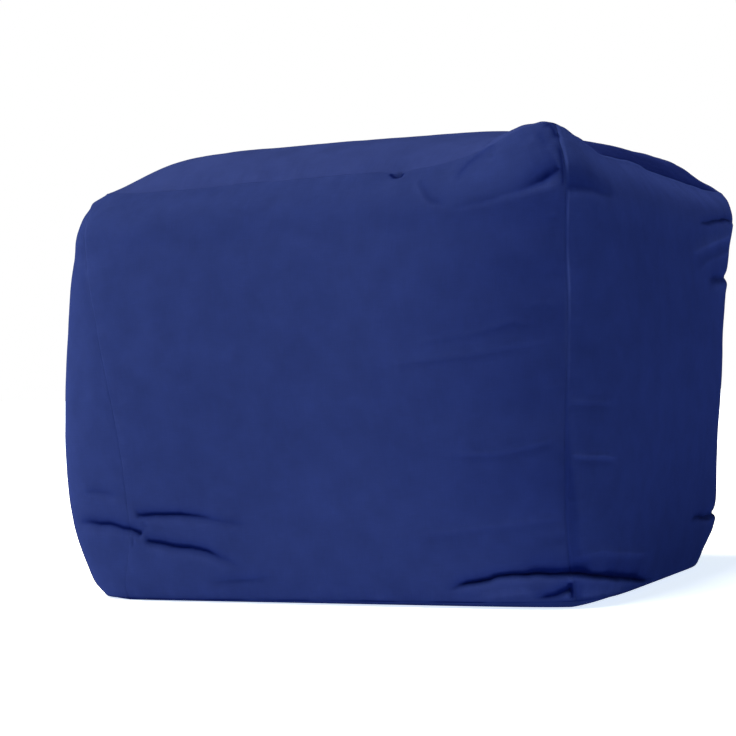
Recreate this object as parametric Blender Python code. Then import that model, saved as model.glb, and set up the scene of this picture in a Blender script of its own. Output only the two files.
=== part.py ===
"""A soft square pouf: six sewn cloth panels, each with its share of the filling behind it.

Units are metres, +Z is up, and the origin is the middle of the flat base. The front panel faces -Y.
"""

import math
from functools import partial
from typing import NamedTuple

import bmesh
import bpy
import numpy as np

# Driving sizes
SEAM_SPAN = 0.470            # between the upright seams, along one top edge
BASE_SPAN = 0.442            # between the upright seams, along one bottom edge
BASE_SEAM_RISE = 0.002       # the bottom seams lie this far above the floor
SEAM_HEIGHT = 0.380          # from the bottom seams up to the top seams
TOP_CROWN = 0.042            # the top panel's middle stands this far above its seams
CROWN_LEAN = 0.20            # how much fuller the crown is on the left than on the right
CROWN_FULLNESS = 6.5         # 2 is a round crown, more is a flatter one with steeper sides
RIGHT_FULLNESS = 11.0        # the same along the right edge, away from the ear
FULLER_OVER = 0.60           # the right edge grows fuller over this share of its length
BACK_FULLNESS = 12.0         # the same along the back edge, on the right half
MIDDLE_OF_BODY = (-0.010, -0.004, 0.190)

# The seams are drawn in by the thread
SEAM_DRAW = 0.0045
SEAM_DRAW_REACH = 0.007
SEAM_DRAW_POWER = 1.5
HALF_SEAM_GAP = 0.00022      # each panel stands this far out along its own axis

# The base flattens where it lies on the floor
BASE_ROLL = 0.022            # from the bottom seams in to the flat of the base
FLAT_WITHIN = 1e-7

# The mesh of each panel
ACROSS_STEPS = 36            # along X
DEEP_STEPS = 30              # along Y
TALL_STEPS = 38              # along Z
EDGE_CROWDING = 0.58         # 0 is even steps, towards 1 crowds them at the seams
ROW_SHARES = (0.0, 0.42, 0.92, 1.0)        # these shares of an upright panel's rows
ROW_HEIGHTS = (0.0, 0.24, 0.95, 1.0)       # lie below these shares of its height
SAMPLES_ON_A_FOLD = 60

# The folds' form
FOLD_FREE_EDGE = 0.012       # folds die away this close to the top and bottom seams
ROLL_PLACE = 1.7             # the roll's middle above the crease, in crease widths
ROLL_SPREAD = 1.1            # and how wide it is, in crease widths
END_FADE = 0.25              # a fold reaches its full depth over this share of its length
END_DEPTH = 0.15             # and starts with about this much of the rise behind it
PULL_SHARPNESS = 1.6         # of the ears and the pucker
PULL_PEAK = 1.25
PULL_TIP = 0.06              # rounds the very tip


class Level(NamedTuple):
    """The body's cross-section at one share of the seam height."""

    share: float
    side: float              # from the axis out to the middle of a side
    corner: float            # from the axis out to an upright seam, along X and along Y


LEVELS = (
    Level(0.00, 0.247, 0.225),
    Level(0.03, 0.253, 0.230),
    Level(0.08, 0.259, 0.234),
    Level(0.17, 0.265, 0.239),
    Level(0.32, 0.274, 0.241),
    Level(0.50, 0.280, 0.242),
    Level(0.68, 0.277, 0.242),
    Level(0.84, 0.268, 0.243),
    Level(0.94, 0.257, 0.241),
    Level(1.00, 0.236, 0.229),
)


class Corner(NamedTuple):
    """How far one corner of the sewn box has been pushed from its place."""

    x_side: int
    y_side: int
    share: float
    dx: float
    dy: float
    dz: float


CORNERS = (
    Corner(-1, -1, 0.0, -0.003, -0.012, -0.001),
    Corner(1, -1, 0.0, 0.003, 0.014, 0.004),
    Corner(1, 1, 0.0, -0.006, -0.005, 0.002),
    Corner(-1, 1, 0.0, -0.005, -0.002, 0.001),
    Corner(-1, -1, 1.0, 0.006, -0.003, -0.004),
    Corner(1, -1, 1.0, 0.007, -0.010, 0.001),
    Corner(1, 1, 1.0, 0.014, -0.006, 0.004),
    Corner(-1, 1, 1.0, -0.002, 0.002, 0.008),
)
BELLY_SHIFT = (-0.016, -0.007)   # the filling has slumped this way at half height


class Drift(NamedTuple):
    """Where an upright seam runs beside the body's corner, as a share of a side."""

    share: float
    front_left: float
    front_right: float
    back_right: float
    back_left: float


DRIFTS = (
    Drift(0.00, 0.070, -0.002, 0.00, 0.00),
    Drift(0.15, 0.140, -0.015, 0.00, 0.01),
    Drift(0.35, 0.155, -0.004, 0.01, 0.02),
    Drift(0.65, 0.095, 0.006, 0.01, 0.02),
    Drift(0.82, 0.045, 0.000, 0.01, 0.01),
    Drift(1.00, 0.00, 0.00, 0.00, 0.00),
)


class Fold(NamedTuple):
    """A crease on an upright panel, through three points on the body, given as turn and height.

    The turn is 0 at the front-left corner, 1 at the front-right, 2 at the back-right and 3 at the
    back-left. A crease is a trough with a fuller roll of cloth above it.
    """

    name: str
    turn_a: float
    height_a: float
    turn_b: float
    height_b: float
    turn_c: float
    height_c: float
    width: float
    depth: float
    roll: float              # height of the roll above the crease, as a share of the depth


FOLDS = (
    Fold("floor fold round the front-right seam", 0.76, 0.017, 1.00, 0.036, 1.50, 0.005, 0.013, 0.012, 0.6),
    Fold("left strip crease", 3.97, 0.070, 4.06, 0.075, 4.18, 0.062, 0.011, 0.010, 0.4),
    Fold("left strip upper crease", 3.98, 0.098, 4.08, 0.098, 4.17, 0.095, 0.010, 0.003, 0.3),
    Fold("upper left crease", 0.165, 0.083, 0.27, 0.084, 0.44, 0.071, 0.011, 0.008, 0.4),
    Fold("middle left crease", 0.165, 0.062, 0.27, 0.052, 0.37, 0.036, 0.011, 0.010, 0.4),
    Fold("low left crease", 0.29, 0.021, 0.36, 0.024, 0.43, 0.027, 0.010, 0.004, 0.4),
    Fold("hook fold", 0.70, 0.362, 0.80, 0.343, 0.99, 0.358, 0.015, 0.006, -0.7),
    Fold("ridge by the front seam", 0.75, 0.230, 0.87, 0.241, 0.98, 0.246, 0.015, -0.003, 0.0),
    Fold("middle ridge by the front seam", 0.72, 0.213, 0.86, 0.220, 0.99, 0.231, 0.013, -0.002, 0.0),
    Fold("lower ridge by the front seam", 0.79, 0.135, 0.90, 0.138, 0.99, 0.146, 0.015, -0.003, 0.0),
    Fold("shade under the right top edge", 1.02, 0.346, 1.16, 0.352, 1.34, 0.358, 0.020, 0.005, 0.5),
    Fold("back corner crease", 1.66, 0.347, 1.80, 0.353, 1.97, 0.358, 0.012, 0.007, 0.3),
    Fold("back corner pull", 1.66, 0.286, 1.80, 0.296, 2.04, 0.300, 0.013, 0.006, 0.3),
    Fold("back corner low pull", 1.66, 0.056, 1.82, 0.056, 2.06, 0.050, 0.012, 0.008, 0.3),
    Fold("back floor fold", 2.30, 0.014, 2.50, 0.026, 2.78, 0.016, 0.014, 0.008, 0.5),
    Fold("back upper pull", 2.10, 0.330, 2.24, 0.318, 2.42, 0.322, 0.017, 0.004, 0.4),
    Fold("left floor fold", 3.20, 0.020, 3.38, 0.032, 3.60, 0.024, 0.014, 0.007, 0.5),
    Fold("left upper pull", 3.10, 0.345, 3.25, 0.330, 3.45, 0.334, 0.017, 0.004, 0.4),
)


class Pull(NamedTuple):
    """A place on the seams that is pushed or pulled out of its line."""

    name: str
    x: float
    y: float
    z: float
    reach_x: float
    reach_y: float
    reach_z: float
    dx: float
    dy: float
    dz: float
    power: float = 1.0       # 1 is pointed, 2 is rounded


PULLS = (
    Pull("front-right ear", 0.222, -0.246, 0.385, 0.080, 0.038, 0.075, -0.006, -0.003, 0.0210, 2.0),
    Pull("tip of that ear", 0.226, -0.246, 0.408, 0.044, 0.036, 0.026, -0.007, 0.000, 0.0070, 2.0),
    Pull("right top seam", 0.240, -0.080, 0.388, 0.030, 0.180, 0.060, 0.000, 0.000, 0.0090, 2.0),
    Pull("shoulder by the ear", 0.238, -0.200, 0.390, 0.022, 0.034, 0.040, 0.000, 0.000, 0.0060, 2.0),
    Pull("right top edge", 0.246, 0.010, 0.388, 0.070, 0.180, 0.018, -0.009, 0.000, 0.0045, 2.0),
    Pull("seam pucker", 0.078, -0.240, 0.380, 0.016, 0.016, 0.016, 0.000, 0.008, -0.012),
    Pull("front-left ear", -0.236, -0.234, 0.370, 0.022, 0.022, 0.024, -0.002, 0.000, 0.006),
    Pull("back-right ear", 0.252, 0.232, 0.382, 0.036, 0.040, 0.024, 0.012, 0.003, 0.005),
    Pull("back-right foot", 0.250, 0.240, 0.010, 0.055, 0.062, 0.030, -0.009, -0.004, 0.008, 2.0),
    Pull("tip of that foot", 0.260, 0.242, 0.006, 0.030, 0.036, 0.026, -0.016, -0.008, 0.007, 2.0),
    Pull("back-left ear", -0.240, 0.236, 0.380, 0.030, 0.030, 0.030, -0.003, 0.003, 0.010),
)

# Cloth finish: name, red, green, blue
PANEL_BLUES = {
    "panel_top": (0.026, 0.040, 0.160),
    "panel_front": (0.023, 0.037, 0.156),
    "panel_right": (0.019, 0.030, 0.140),
    "panel_back": (0.022, 0.034, 0.148),
    "panel_left": (0.024, 0.038, 0.158),
    "panel_bottom": (0.020, 0.031, 0.135),
}
CLOTH_ROUGHNESS = 0.72
SHARP_FROM_DEGREES = 40
PANEL_AXES = {
    "panel_top": (0, 0, 1),
    "panel_front": (0, -1, 0),
    "panel_right": (1, 0, 0),
    "panel_back": (0, 1, 0),
    "panel_left": (-1, 0, 0),
    "panel_bottom": (0, 0, -1),
}
SIDE_ORDER = ("panel_front", "panel_right", "panel_back", "panel_left")


def smooth_between(x, xs, ys):
    """Read a smooth curve through the points xs, ys at x."""
    xs = np.array(xs)
    ys = np.array(ys)
    slopes = np.gradient(ys, xs)
    x = np.clip(x, xs[0], xs[-1])
    i = np.clip(np.searchsorted(xs, x, side="right") - 1, 0, len(xs) - 2)
    step = xs[i + 1] - xs[i]
    t = (x - xs[i]) / step
    start = (2 * t**3 - 3 * t**2 + 1) * ys[i] + (t**3 - 2 * t**2 + t) * step * slopes[i]
    end = (3 * t**2 - 2 * t**3) * ys[i + 1] + (t**3 - t**2) * step * slopes[i + 1]
    return start + end


def smooth_step(x):
    """Rise smoothly from 0 to 1 as x goes from 0 to 1."""
    x = np.clip(x, 0.0, 1.0)
    return x * x * (3.0 - 2.0 * x)


def crowded(x):
    """Even shares from 0 to 1, moved towards both ends."""
    return x - EDGE_CROWDING * np.sin(2 * math.pi * x) / (2 * math.pi)


def crowded_low(x):
    """Even shares from 0 to 1, moved down to where the floor folds and creases are."""
    return smooth_between(x, ROW_SHARES, ROW_HEIGHTS)


def ring_point(turn, share):
    """The plain body's outline at a share of the seam height, and its outward direction."""
    shares = [level.share for level in LEVELS]
    side = smooth_between(share, shares, [level.side for level in LEVELS])
    corner = smooth_between(share, shares, [level.corner for level in LEVELS])
    power = math.log(2.0) / np.log(side / corner)
    turn = np.mod(turn, 4.0)
    quarter = np.floor(turn)
    along = corner * (2.0 * (turn - quarter) - 1.0)
    out = (side**power - np.abs(along)**power)**(1.0 / power)
    lean = np.sign(along) * np.abs(along / out)**(power - 1.0)
    length = np.sqrt(1.0 + lean**2)
    cosine = np.cos(quarter * math.pi / 2)
    sine = np.sin(quarter * math.pi / 2)
    point = np.stack([along * cosine + out * sine, along * sine - out * cosine], axis=-1)
    away = np.stack([lean * cosine + sine, lean * sine - cosine], axis=-1)
    return point, away / length[..., None]


def pushed(point, share):
    """Add the pushes of the eight corners and of the slumped filling."""
    x_share = np.clip(point[..., 0] / (SEAM_SPAN / 2), -1.0, 1.0)
    y_share = np.clip(point[..., 1] / (SEAM_SPAN / 2), -1.0, 1.0)
    total = np.zeros(point.shape[:-1] + (3,))
    for corner in CORNERS:
        weight = (1 + corner.x_side * x_share) * (1 + corner.y_side * y_share) / 4
        weight = weight * (share if corner.share else 1 - share)
        total += weight[..., None] * np.array([corner.dx, corner.dy, corner.dz])
    slump = 4.0 * share * (1.0 - share)
    total[..., 0] += BELLY_SHIFT[0] * slump
    total[..., 1] += BELLY_SHIFT[1] * slump
    return total


def body_point(turn, share):
    """A point of the filled body without its folds, and its outward direction."""
    flat, away = ring_point(turn, share)
    height = BASE_SEAM_RISE + SEAM_HEIGHT * share
    point = np.concatenate([flat, height[..., None]], axis=-1) + pushed(flat, share)
    return point, np.concatenate([away, np.zeros_like(height)[..., None]], axis=-1)


def seam_turn(corner, share):
    """The turn at which an upright seam runs at a share of its height."""
    names = ("front_left", "front_right", "back_right", "back_left")
    drift = smooth_between(share, [row.share for row in DRIFTS],
                           [getattr(row, names[corner % 4]) for row in DRIFTS])
    return corner + drift


def fold_offset(fold, turn, height):
    """How far one fold moves the cloth outwards at each point."""
    t = np.linspace(0.0, 1.0, SAMPLES_ON_A_FOLD)
    bend_turn = 2 * fold.turn_b - (fold.turn_a + fold.turn_c) / 2
    bend_height = 2 * fold.height_b - (fold.height_a + fold.height_c) / 2
    ends = ((1 - t)**2, 2 * t * (1 - t), t**2)
    line_turn = ends[0] * fold.turn_a + ends[1] * bend_turn + ends[2] * fold.turn_c
    line_height = ends[0] * fold.height_a + ends[1] * bend_height + ends[2] * fold.height_c
    apart = np.mod(turn[..., None] - line_turn + 2.0, 4.0) - 2.0
    beside = apart * SEAM_SPAN
    above = height[..., None] - line_height
    distance = np.sqrt(beside**2 + above**2)
    nearest = np.argmin(distance, axis=-1)
    gap = np.take_along_axis(distance, nearest[..., None], axis=-1)[..., 0]
    over = np.take_along_axis(above, nearest[..., None], axis=-1)[..., 0]
    signed = np.where(over >= 0, gap, -gap) / fold.width
    place = t[nearest]
    fade = smooth_step(np.minimum(place, 1.0 - place) / END_FADE + END_DEPTH)
    trough = -np.exp(-signed**2)
    roll = fold.roll * np.exp(-((signed - ROLL_PLACE) / ROLL_SPREAD)**2)
    return fold.depth * fade * (trough + roll)


def pulled(point):
    """Add the ears, the pucker of the top seam, the rolled right edge and the lifted foot."""
    total = np.zeros_like(point)
    for pull in PULLS:
        reach = (pull.reach_x, pull.reach_y, pull.reach_z)
        away = (point - np.array([pull.x, pull.y, pull.z])) / reach
        far = np.sqrt(np.sum(away**2, axis=-1) + PULL_TIP)
        weight = PULL_PEAK * np.exp(-PULL_SHARPNESS * far**pull.power)
        total += weight[..., None] * np.array([pull.dx, pull.dy, pull.dz])
    return point + total


def drawn_in(point, distance):
    """Draw the cloth towards the middle of the body beside a seam."""
    inward = np.array(MIDDLE_OF_BODY) - point
    inward /= np.linalg.norm(inward, axis=-1)[..., None]
    depth = SEAM_DRAW * np.exp(-(distance / SEAM_DRAW_REACH)**SEAM_DRAW_POWER)
    return point + inward * depth[..., None]


def seam_distance(u, v, width, height):
    """Distance from the nearest of a panel's four seams, for shares u and v from 0 to 1."""
    across = np.minimum(u, 1 - u) * width
    along = np.minimum(v, 1 - v) * height
    return np.minimum(across, along)


def upright_panel(side, u, v):
    """Points of an upright panel: u runs to the right along it, v runs up."""
    turn = seam_turn(side, v) * (1 - u) + seam_turn(side + 1, v) * u
    point, away = body_point(turn, v)
    distance = seam_distance(u, v, SEAM_SPAN, SEAM_HEIGHT)
    calm = smooth_step(np.minimum(v, 1 - v) * SEAM_HEIGHT / FOLD_FREE_EDGE)
    lift = sum(fold_offset(fold, turn, point[..., 2]) for fold in FOLDS) * calm
    point = pulled(point + away * lift[..., None])
    return drawn_in(point, distance)


def seam_loop_patch(share, u, v):
    """Fill the four seams at the top or the bottom with an even patch."""
    def edge(side, along):
        level = np.full_like(along, share)
        turn = seam_turn(side, level) * (1 - along) + seam_turn(side + 1, level) * along
        return body_point(turn, level)[0]

    front = edge(0, u)
    right = edge(1, v)
    back = edge(2, 1 - u)
    left = edge(3, 1 - v)
    u = u[..., None]
    v = v[..., None]
    near_left, near_right, far_right, far_left = (edge(side, np.zeros(1))[0] for side in range(4))
    ruled = (1 - v) * front + v * back + (1 - u) * left + u * right
    bilinear = ((1 - u) * (1 - v) * near_left + u * (1 - v) * near_right
                + u * v * far_right + (1 - u) * v * far_left)
    return ruled - bilinear


def top_panel(u, v):
    """Points of the top panel: u runs along X, v runs along Y."""
    point = seam_loop_patch(1.0, u, v)
    extra = (RIGHT_FULLNESS - CROWN_FULLNESS) * smooth_step(v / FULLER_OVER)
    across = CROWN_FULLNESS + np.where(u > 0.5, extra, 0.0)
    extra = (BACK_FULLNESS - CROWN_FULLNESS) * smooth_step(2 * u - 1)
    along = CROWN_FULLNESS + np.where(v > 0.5, extra, 0.0)
    swell = (1 - np.abs(2 * u - 1)**across) * (1 - np.abs(2 * v - 1)**along)
    point[..., 2] += TOP_CROWN * (1 + CROWN_LEAN * (0.5 - u)) * swell
    return drawn_in(pulled(point), seam_distance(u, v, SEAM_SPAN, SEAM_SPAN))


def bottom_panel(u, v):
    """Points of the bottom panel: u runs along X, v runs along Y."""
    point = seam_loop_patch(0.0, u, v)
    distance = seam_distance(u, v, BASE_SPAN, BASE_SPAN)
    point = drawn_in(pulled(point), distance)
    point[..., 2] *= 1 - smooth_step(distance / BASE_ROLL)
    return point


def panel_mesh(name, columns, rows, row_places, shape, flip):
    """Build one panel: a grid moved to its shape, closed by walls that meet inside the body."""
    bm = bmesh.new()
    bmesh.ops.create_grid(bm, x_segments=columns, y_segments=rows, size=1.0)
    grid = np.array([vert.co for vert in bm.verts])
    u = crowded((grid[:, 0] + 1) / 2)
    v = row_places((grid[:, 1] + 1) / 2)
    points = shape(u, v)
    if name == "panel_bottom":
        points[:, 2] += HALF_SEAM_GAP
    points += np.array(PANEL_AXES[name]) * HALF_SEAM_GAP
    for vert, point in zip(bm.verts, points):
        vert.co = point
    if flip:
        bmesh.ops.reverse_faces(bm, faces=bm.faces)
    on_floor = [face for face in bm.faces if all(abs(vert.co.z) < FLAT_WITHIN for vert in face.verts)]
    bmesh.ops.dissolve_faces(bm, faces=on_floor)
    apex = bm.verts.new(np.array(MIDDLE_OF_BODY) + np.array(PANEL_AXES[name]) * HALF_SEAM_GAP)
    for edge in [edge for edge in bm.edges if edge.is_boundary]:
        loop = edge.link_loops[0]
        bm.faces.new((loop.link_loop_next.vert, loop.vert, apex))
    mesh = bpy.data.meshes.new(name)
    bm.to_mesh(mesh)
    bm.free()
    return mesh


def cloth_material(name):
    """The woven cloth of one panel."""
    material = bpy.data.materials.new(name + "_cloth")
    material.use_nodes = True
    shader = material.node_tree.nodes["Principled BSDF"]
    shader.inputs["Base Color"].default_value = PANEL_BLUES[name] + (1.0,)
    shader.inputs["Roughness"].default_value = CLOTH_ROUGHNESS
    shader.inputs["Metallic"].default_value = 0.0
    return material


def add_panel(name, columns, rows, row_places, shape, flip=False):
    """Add one panel to the scene with its cloth."""
    mesh = panel_mesh(name, columns, rows, row_places, shape, flip)
    mesh.shade_smooth()
    mesh.set_sharp_from_angle(angle=math.radians(SHARP_FROM_DEGREES))
    mesh.materials.append(cloth_material(name))
    panel = bpy.data.objects.new(name, mesh)
    bpy.context.scene.collection.objects.link(panel)
    return panel


def main():
    """Clear the scene and build the six panels."""
    for old in list(bpy.data.objects):
        bpy.data.objects.remove(old, do_unlink=True)
    for side, name in enumerate(SIDE_ORDER):
        columns = ACROSS_STEPS if side % 2 == 0 else DEEP_STEPS
        add_panel(name, columns, TALL_STEPS, crowded_low, partial(upright_panel, side))
    add_panel("panel_top", ACROSS_STEPS, DEEP_STEPS, crowded, top_panel)
    add_panel("panel_bottom", ACROSS_STEPS, DEEP_STEPS, crowded, bottom_panel, flip=True)


main()
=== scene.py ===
"""The finished look of a soft square pouf: six sewn panels of woven cloth over a loose filling.

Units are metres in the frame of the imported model: +Z is up, the front panel faces -Y, and the
origin is the middle of the base. Every panel is a closed piece that stands for its own node.
"""

import logging
import math
from dataclasses import dataclass, field
from enum import Enum

import bmesh
import bpy
import numpy as np
from mathutils import Matrix, Vector


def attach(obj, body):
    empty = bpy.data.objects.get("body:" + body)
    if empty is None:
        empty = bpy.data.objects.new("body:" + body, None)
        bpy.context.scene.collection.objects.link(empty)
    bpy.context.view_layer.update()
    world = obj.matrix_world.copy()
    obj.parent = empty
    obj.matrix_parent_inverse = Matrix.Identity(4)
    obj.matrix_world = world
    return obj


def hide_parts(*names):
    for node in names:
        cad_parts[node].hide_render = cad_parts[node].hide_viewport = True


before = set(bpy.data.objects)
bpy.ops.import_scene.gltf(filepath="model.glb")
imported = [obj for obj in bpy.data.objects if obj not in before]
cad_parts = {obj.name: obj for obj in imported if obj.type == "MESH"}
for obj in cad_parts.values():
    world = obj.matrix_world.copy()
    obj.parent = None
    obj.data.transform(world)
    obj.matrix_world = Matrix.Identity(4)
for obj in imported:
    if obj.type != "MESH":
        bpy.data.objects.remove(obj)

log = logging.getLogger("pouf")

MM = 0.001
MAIN_BODY = "root"

Array = np.ndarray
Pair = tuple[float, float]
Triple = tuple[float, float, float]
Rgba = tuple[float, float, float, float]
Line = tuple[Pair, ...]


# Small helpers for curves and noise

def smooth_between(x: Array, xs: list[float], ys: list[float]) -> Array:
    """Read a smooth curve through given points.

    Args:
        x: Where to read it.
        xs: The points' places, rising.
        ys: The points' values.

    Returns:
        The curve's value at each x.
    """
    places = np.array(xs)
    values = np.array(ys)
    slopes = np.gradient(values, places)
    x = np.clip(x, places[0], places[-1])
    i = np.clip(np.searchsorted(places, x, side="right") - 1, 0, len(places) - 2)
    step = places[i + 1] - places[i]
    t = (x - places[i]) / step
    start = (2 * t**3 - 3 * t**2 + 1) * values[i] + (t**3 - 2 * t**2 + t) * step * slopes[i]
    end = (3 * t**2 - 2 * t**3) * values[i + 1] + (t**3 - t**2) * step * slopes[i + 1]
    return start + end


def smooth_step(x: Array) -> Array:
    """Rise smoothly from 0 to 1 as x goes from 0 to 1."""
    x = np.clip(x, 0.0, 1.0)
    return x * x * (3.0 - 2.0 * x)


class SoftNoise:
    """Smooth noise through space, the same in every run, from about -1 to 1."""

    CELLS = 32

    def __init__(self, seed: int) -> None:
        """Fill the lattice from a seed."""
        self.lattice = np.random.default_rng(seed).uniform(-1.0, 1.0, (self.CELLS,) * 3)

    def at(self, points: Array, size: float | Triple) -> Array:
        """Read the noise.

        Args:
            points: Places in metres, three columns.
            size: How far apart its lumps are, one number or one along each axis.

        Returns:
            One value for each point.
        """
        cell = points / np.array(size)
        low = np.floor(cell).astype(int)
        part = cell - low
        ease = part**3 * (part * (part * 6.0 - 15.0) + 10.0)
        total = np.zeros(len(points))
        for corner in np.ndindex(2, 2, 2):
            weight = np.ones(len(points))
            for axis in range(3):
                weight = weight * (ease[:, axis] if corner[axis] else 1.0 - ease[:, axis])
            spot = (low + np.array(corner)) % self.CELLS
            total += weight * self.lattice[spot[:, 0], spot[:, 1], spot[:, 2]]
        return total


# The filled body under the cloth

@dataclass(frozen=True)
class Level:
    """The body's cross-section at one share of the seam height."""

    share: float
    side: float
    corner: float


@dataclass(frozen=True)
class Corner:
    """How far one corner of the sewn box has been pushed from its place, in millimetres."""

    x_side: int
    y_side: int
    share: float
    dx: float
    dy: float
    dz: float


@dataclass(frozen=True)
class Drift:
    """Where the upright seams run beside the body's corners, as a share of a side."""

    share: float
    front_left: float
    front_right: float
    back_right: float
    back_left: float


@dataclass(frozen=True)
class Pull:
    """A place on the seams that is pushed or pulled out of its line, all in millimetres."""

    place: Triple
    reach: Triple
    move: Triple
    power: float = 1.0


@dataclass(frozen=True)
class Crumple:
    """A place where the cloth is crumpled small, all in millimetres."""

    place: Triple
    reach: float
    height: float
    pitch: float


@dataclass(frozen=True)
class FilledBody:
    """The slumped box of filling that the six panels are sewn round."""

    seam_span: float = 0.470
    base_span: float = 0.442
    seam_height: float = 0.380
    base_seam_rise: float = 0.002
    middle: Triple = (-0.010, -0.004, 0.190)
    belly_shift: Pair = (-0.016, -0.007)
    pull_sharpness: float = 1.6
    pull_peak: float = 1.25
    pull_tip: float = 0.06
    levels: tuple[Level, ...] = (
        Level(0.00, 0.247, 0.225),
        Level(0.03, 0.253, 0.230),
        Level(0.08, 0.259, 0.234),
        Level(0.17, 0.265, 0.239),
        Level(0.32, 0.274, 0.241),
        Level(0.50, 0.280, 0.242),
        Level(0.68, 0.277, 0.242),
        Level(0.84, 0.268, 0.243),
        Level(0.94, 0.257, 0.241),
        Level(1.00, 0.236, 0.229),
    )
    corners: tuple[Corner, ...] = (
        Corner(-1, -1, 0, -3, -12, -1),
        Corner(1, -1, 0, 3, 14, 4),
        Corner(1, 1, 0, -6, -5, 2),
        Corner(-1, 1, 0, -5, -2, 1),
        Corner(-1, -1, 1, 6, -3, -4),
        Corner(1, -1, 1, 7, -10, 1),
        Corner(1, 1, 1, 14, -6, 4),
        Corner(-1, 1, 1, -2, 2, 8),
    )
    drifts: tuple[Drift, ...] = (
        Drift(0.00, 0.070, -0.002, 0.00, 0.00),
        Drift(0.15, 0.140, -0.015, 0.00, 0.01),
        Drift(0.35, 0.155, -0.004, 0.01, 0.02),
        Drift(0.65, 0.095, 0.006, 0.01, 0.02),
        Drift(0.82, 0.045, 0.000, 0.01, 0.01),
        Drift(1.00, 0.00, 0.00, 0.00, 0.00),
    )
    pulls: tuple[Pull, ...] = (
        Pull((222, -246, 385), (80, 38, 75), (-6, -3, 21), 2),
        Pull((226, -246, 408), (44, 36, 26), (-7, 0, 7), 2),
        Pull((240, -80, 388), (30, 180, 60), (0, 0, 9), 2),
        Pull((238, -200, 390), (22, 34, 40), (0, 0, 6), 2),
        Pull((246, 10, 388), (70, 180, 18), (-9, 0, 4.5), 2),
        Pull((172, -244, 392), (5, 9, 6), (0, 4, -3), 2),
        Pull((80, -240, 380), (16, 14, 14), (0, 3, -4)),
        Pull((83.5, -243, 378), (5, 11, 4), (0, 3.2, -2), 2),
        Pull((-236, -234, 370), (22, 22, 24), (-2, 0, 6)),
        Pull((252, 232, 382), (36, 40, 24), (12, 3, 5)),
        Pull((250, 240, 10), (55, 62, 30), (-9, -4, 8), 2),
        Pull((260, 242, 6), (30, 36, 26), (-16, -8, 7), 2),
        Pull((250, 175, 4), (30, 45, 24), (-8, 0, 6), 2),
        Pull((-240, 236, 380), (30, 30, 30), (-3, 3, 10)),
    )
    crumples: tuple[Crumple, ...] = (
        Crumple((222, -250, 404), 20, 1.5, 8),
        Crumple((180, -250, 390), 18, 0.7, 7),
        Crumple((-165, -285, 68), 22, 0.7, 8),
        Crumple((236, -252, 14), 22, 1, 8),
        Crumple((-236, -236, 372), 24, 1.6, 13),
        Crumple((250, 236, 375), 28, 1.2, 11),
        Crumple((-236, 236, 380), 28, 1.2, 11),
    )

    def ring(self, turn: Array, share: Array) -> tuple[Array, Array]:
        """Read the plain body's outline.

        Args:
            turn: 0 at the front-left corner, 1 at the front-right, and so on round.
            share: Share of the seam height.

        Returns:
            Points and outward directions, two columns each.
        """
        shares = [level.share for level in self.levels]
        side = smooth_between(share, shares, [level.side for level in self.levels])
        corner = smooth_between(share, shares, [level.corner for level in self.levels])
        power = math.log(2.0) / np.log(side / corner)
        turn = np.mod(turn, 4.0)
        quarter = np.floor(turn)
        along = corner * (2.0 * (turn - quarter) - 1.0)
        out = (side**power - np.abs(along)**power)**(1.0 / power)
        lean = np.sign(along) * np.abs(along / out)**(power - 1.0)
        cosine = np.cos(quarter * math.pi / 2)
        sine = np.sin(quarter * math.pi / 2)
        point = np.stack([along * cosine + out * sine, along * sine - out * cosine], axis=-1)
        away = np.stack([lean * cosine + sine, lean * sine - cosine], axis=-1)
        return point, away / np.sqrt(1.0 + lean**2)[..., None]

    def slump(self, point: Array, share: Array) -> Array:
        """Work out the pushes of the corners and of the slumped filling.

        Args:
            point: Points of the outline, two columns.
            share: Share of the seam height.

        Returns:
            Moves, three columns.
        """
        x_share = np.clip(point[..., 0] / (self.seam_span / 2), -1.0, 1.0)
        y_share = np.clip(point[..., 1] / (self.seam_span / 2), -1.0, 1.0)
        total = np.zeros(point.shape[:-1] + (3,))
        for corner in self.corners:
            weight = (1 + corner.x_side * x_share) * (1 + corner.y_side * y_share) / 4
            weight = weight * (share if corner.share else 1 - share)
            total += weight[..., None] * np.array([corner.dx, corner.dy, corner.dz]) * MM
        belly = 4.0 * share * (1.0 - share)
        total[..., 0] += self.belly_shift[0] * belly
        total[..., 1] += self.belly_shift[1] * belly
        return total

    def point(self, turn: Array, share: Array) -> tuple[Array, Array]:
        """Read a point of the body without its folds.

        Args:
            turn: Place round the body, in sides.
            share: Share of the seam height.

        Returns:
            Points and outward directions, three columns each.
        """
        flat, away = self.ring(turn, share)
        height = self.base_seam_rise + self.seam_height * share
        point = np.concatenate([flat, height[..., None]], axis=-1) + self.slump(flat, share)
        return point, np.concatenate([away, np.zeros_like(height)[..., None]], axis=-1)

    def seam_turn(self, corner: int, share: Array) -> Array:
        """Find where an upright seam runs.

        Args:
            corner: Its corner, 0 to 4, from the front-left one round.
            share: Share of the seam height.

        Returns:
            The seam's turn at each share.
        """
        names = ("front_left", "front_right", "back_right", "back_left")
        shares = [row.share for row in self.drifts]
        drift = smooth_between(share, shares, [getattr(row, names[corner % 4]) for row in self.drifts])
        return corner + drift

    def seam_loop_patch(self, share: float, u: Array, v: Array) -> Array:
        """Fill the four seams at the top or the bottom with an even patch.

        Args:
            share: 0 for the bottom seams, 1 for the top ones.
            u: Share along X.
            v: Share along Y.

        Returns:
            Points, three columns.
        """
        def edge(side: int, along: Array) -> Array:
            """Points along one side's seam."""
            level = np.full_like(along, share)
            turn = self.seam_turn(side, level) * (1 - along) + self.seam_turn(side + 1, level) * along
            return self.point(turn, level)[0]

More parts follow.
